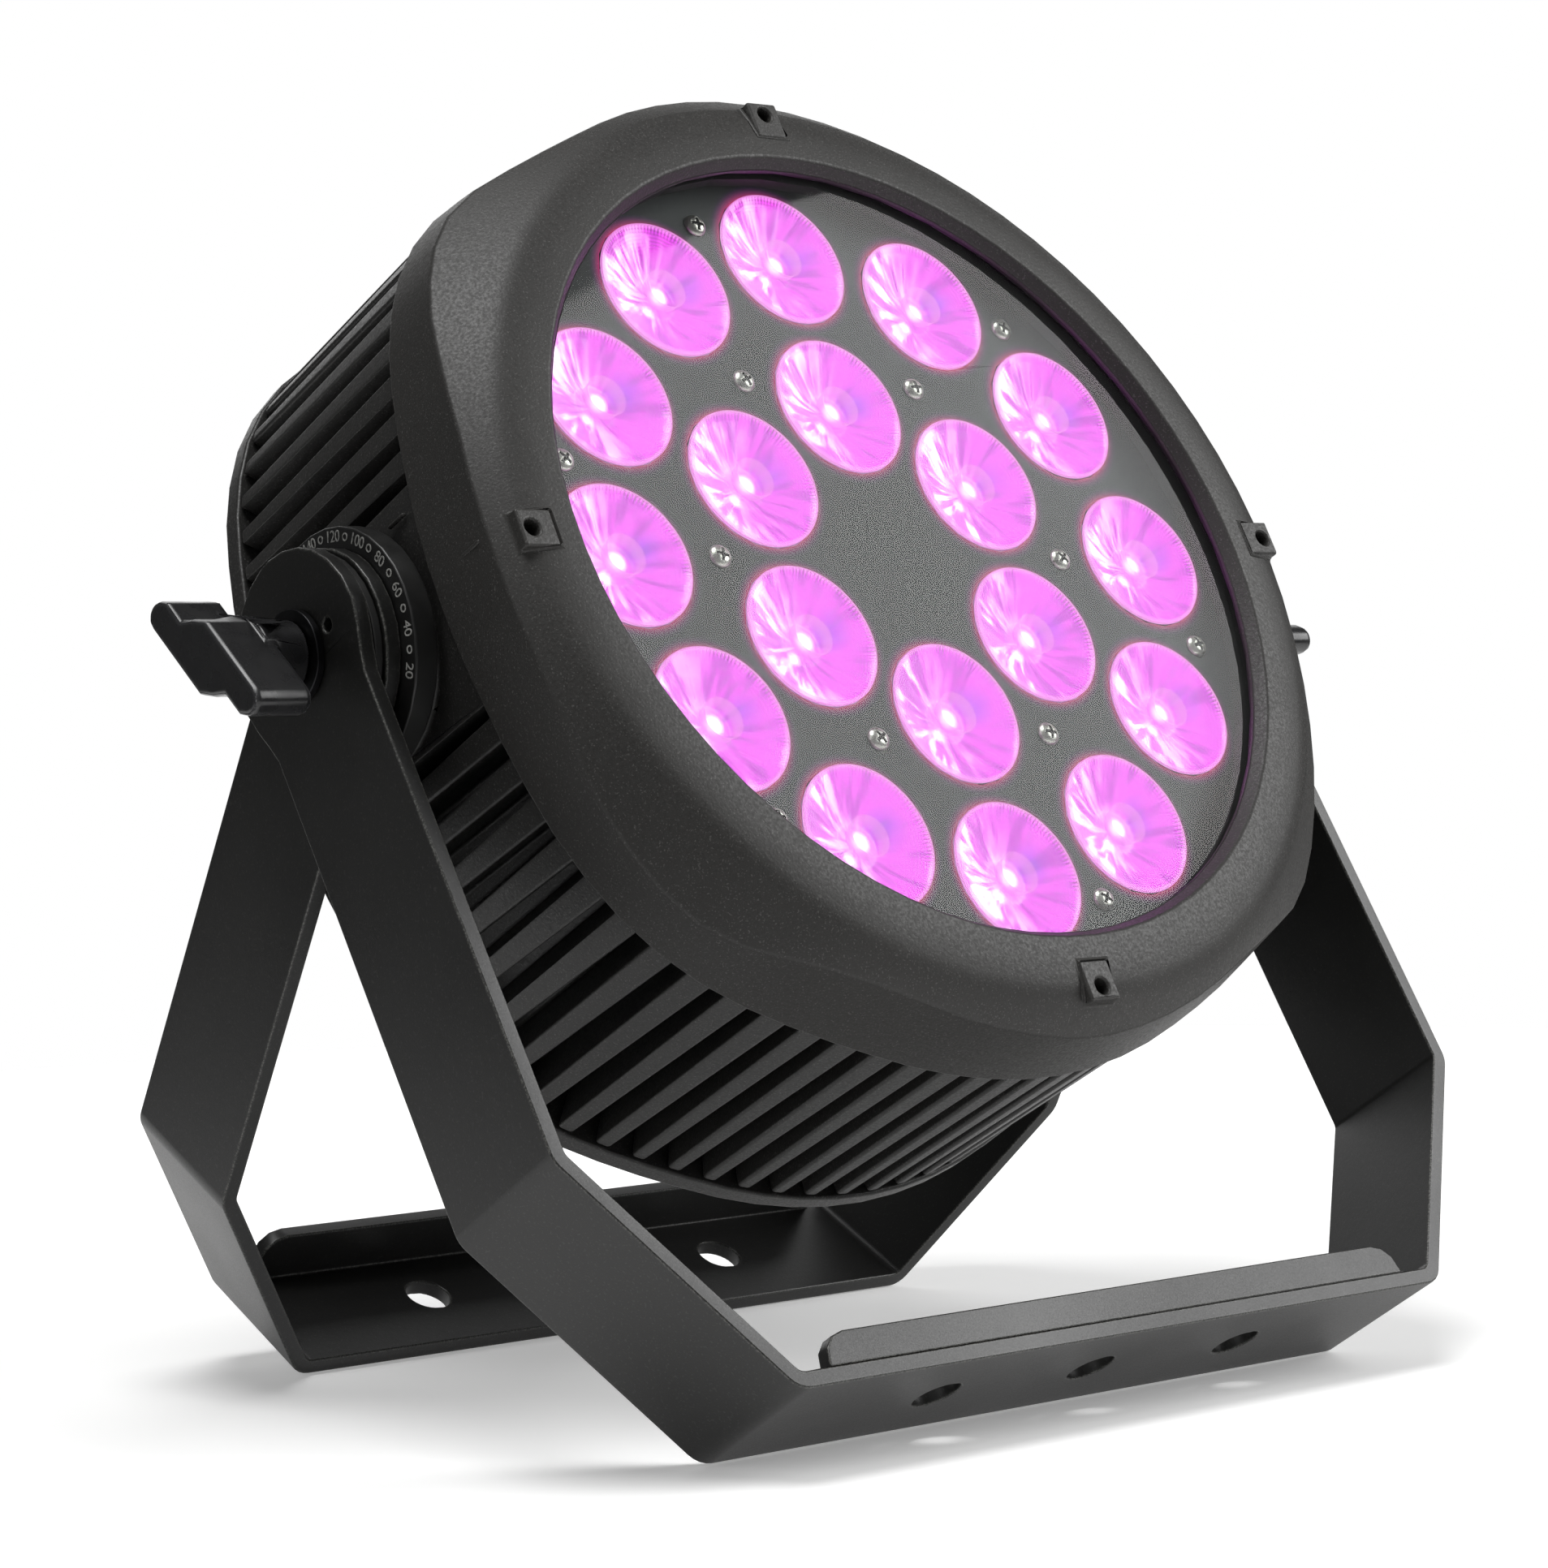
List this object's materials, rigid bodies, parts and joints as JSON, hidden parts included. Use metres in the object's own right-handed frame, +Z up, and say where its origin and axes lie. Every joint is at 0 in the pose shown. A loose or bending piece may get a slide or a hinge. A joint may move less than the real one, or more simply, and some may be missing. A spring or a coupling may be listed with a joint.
{
  "type": "par can light",
  "caption": "Stage wash light with a glass-fronted square-round finned body, clear optics on a plate, rear control panel, and a clamped double U bracket that stands on the floor.",
  "frame": {"origin": "on the floor under the middle of the lamp", "axes": "+X across the lamp along the tilt axis, -Y forward to the side the beam leaves, +Z up"},
  "size_m": [0.3486, 0.2274, 0.318],
  "materials": {
    "black_powder_coat": "satin black powder coat on steel strip",
    "charcoal_sand_coat": "fine sand-texture charcoal powder coat on die-cast aluminium",
    "knob_black": "smooth moulded black",
    "disc_black": "moulded black with raised pale scale",
    "black_rubber": "matte",
    "socket_black": "moulded black",
    "slate_plate": "matte slate grey",
    "lens_clear": "clear moulded optic, lit magenta",
    "clear_glass": "clear flat tempered glass",
    "window_clear": "clear window over a dark display",
    "black_oxide_steel": "black oxide",
    "zinc_steel": "zinc plated",
    "white_board": "white solder mask on an aluminium-core board",
    "green_board": "green solder mask"
  },
  "bodies": {
    "stand": {"front_bracket": "black_powder_coat", "scale_disc_left": "disc_black", "scale_disc_right": "disc_black", "friction_washer_left": "black_rubber", "friction_washer_right": "black_rubber"},
    "rear_leg": {"rear_bracket": "black_powder_coat"},
    "head": {"bezel": "charcoal_sand_coat", "housing": "charcoal_sand_coat", "rear_cover": "charcoal_sand_coat", "front_glass": "clear_glass", "glass_gasket": "black_rubber", "glass_retainer": "black_rubber", "lens_plate": "slate_plate", "lens_01": "lens_clear", "lens_02": "lens_clear", "lens_03": "lens_clear", "lens_04": "lens_clear", "lens_05": "lens_clear", "lens_06": "lens_clear", "lens_07": "lens_clear", "lens_08": "lens_clear", "lens_09": "lens_clear", "lens_10": "lens_clear", "lens_11": "lens_clear", "lens_12": "lens_clear", "lens_13": "lens_clear", "lens_14": "lens_clear", "lens_15": "lens_clear", "lens_16": "lens_clear", "lens_17": "lens_clear", "lens_18": "lens_clear", "led_board": "white_board", "driver_board": "green_board", "power_supply": "zinc_steel", "power_in_socket": "socket_black", "power_out_socket": "socket_black", "data_in_socket": "socket_black", "data_out_socket": "socket_black", "display_window": "window_clear", "vent_plug": "socket_black", "safety_eye": "zinc_steel"},
    "left_clamp": {"knob_washer_left": "black_oxide_steel"},
    "right_clamp": {"knob_washer_right": "black_oxide_steel"},
    "left_knob": {"knob_left": "knob_black", "knob_stud_left": "zinc_steel"},
    "right_knob": {"knob_right": "knob_black", "knob_stud_right": "zinc_steel"},
    "button_1": {"menu_button_1": "black_rubber"},
    "button_2": {"menu_button_2": "black_rubber"},
    "button_3": {"menu_button_3": "black_rubber"},
    "button_4": {"menu_button_4": "black_rubber"}
  },
  "joints": [
    {"name": "head_tilt", "type": "hinge", "parent": "stand", "child": "head", "pos_m": [0, 0.00873, 0.1788], "axis": [-1, 0, 0], "range_deg": [-118.3, 61.7]},
    {"name": "rear_leg_fold", "type": "hinge", "parent": "stand", "child": "rear_leg", "pos_m": [0, 0.00873, 0.1788], "axis": [1, 0, 0], "range_deg": [-47, 120]},
    {"name": "left_clamp_slide", "type": "slide", "parent": "head", "child": "left_clamp", "axis": [-1, 0, 0], "range_m": [0, 0.0026]},
    {"name": "left_knob_turn", "type": "hinge", "parent": "left_clamp", "child": "left_knob", "pos_m": [0, 0.00873, 0.1788], "axis": [-1, 0, 0], "range_deg": [0, 720]},
    {"name": "right_clamp_slide", "type": "slide", "parent": "head", "child": "right_clamp", "axis": [1, 0, 0], "range_m": [0, 0.0026]},
    {"name": "right_knob_turn", "type": "hinge", "parent": "right_clamp", "child": "right_knob", "pos_m": [0, 0.00873, 0.1788], "axis": [1, 0, 0], "range_deg": [0, 720]},
    {"name": "button_1_press", "type": "slide", "parent": "head", "child": "button_1", "axis": [0, -0.8805, 0.4741], "range_m": [0, 0.0015], "stiffness_N_per_m": 800},
    {"name": "button_2_press", "type": "slide", "parent": "head", "child": "button_2", "axis": [0, -0.8805, 0.4741], "range_m": [0, 0.0015], "stiffness_N_per_m": 800},
    {"name": "button_3_press", "type": "slide", "parent": "head", "child": "button_3", "axis": [0, -0.8805, 0.4741], "range_m": [0, 0.0015], "stiffness_N_per_m": 800},
    {"name": "button_4_press", "type": "slide", "parent": "head", "child": "button_4", "axis": [0, -0.8805, 0.4741], "range_m": [0, 0.0015], "stiffness_N_per_m": 800}
  ],
  "couplings": [
    {"joint": "left_clamp_slide", "follows": "left_knob_turn", "m_per_rad": 0.00019894},
    {"joint": "right_clamp_slide", "follows": "right_knob_turn", "m_per_rad": 0.00019894}
  ]
}
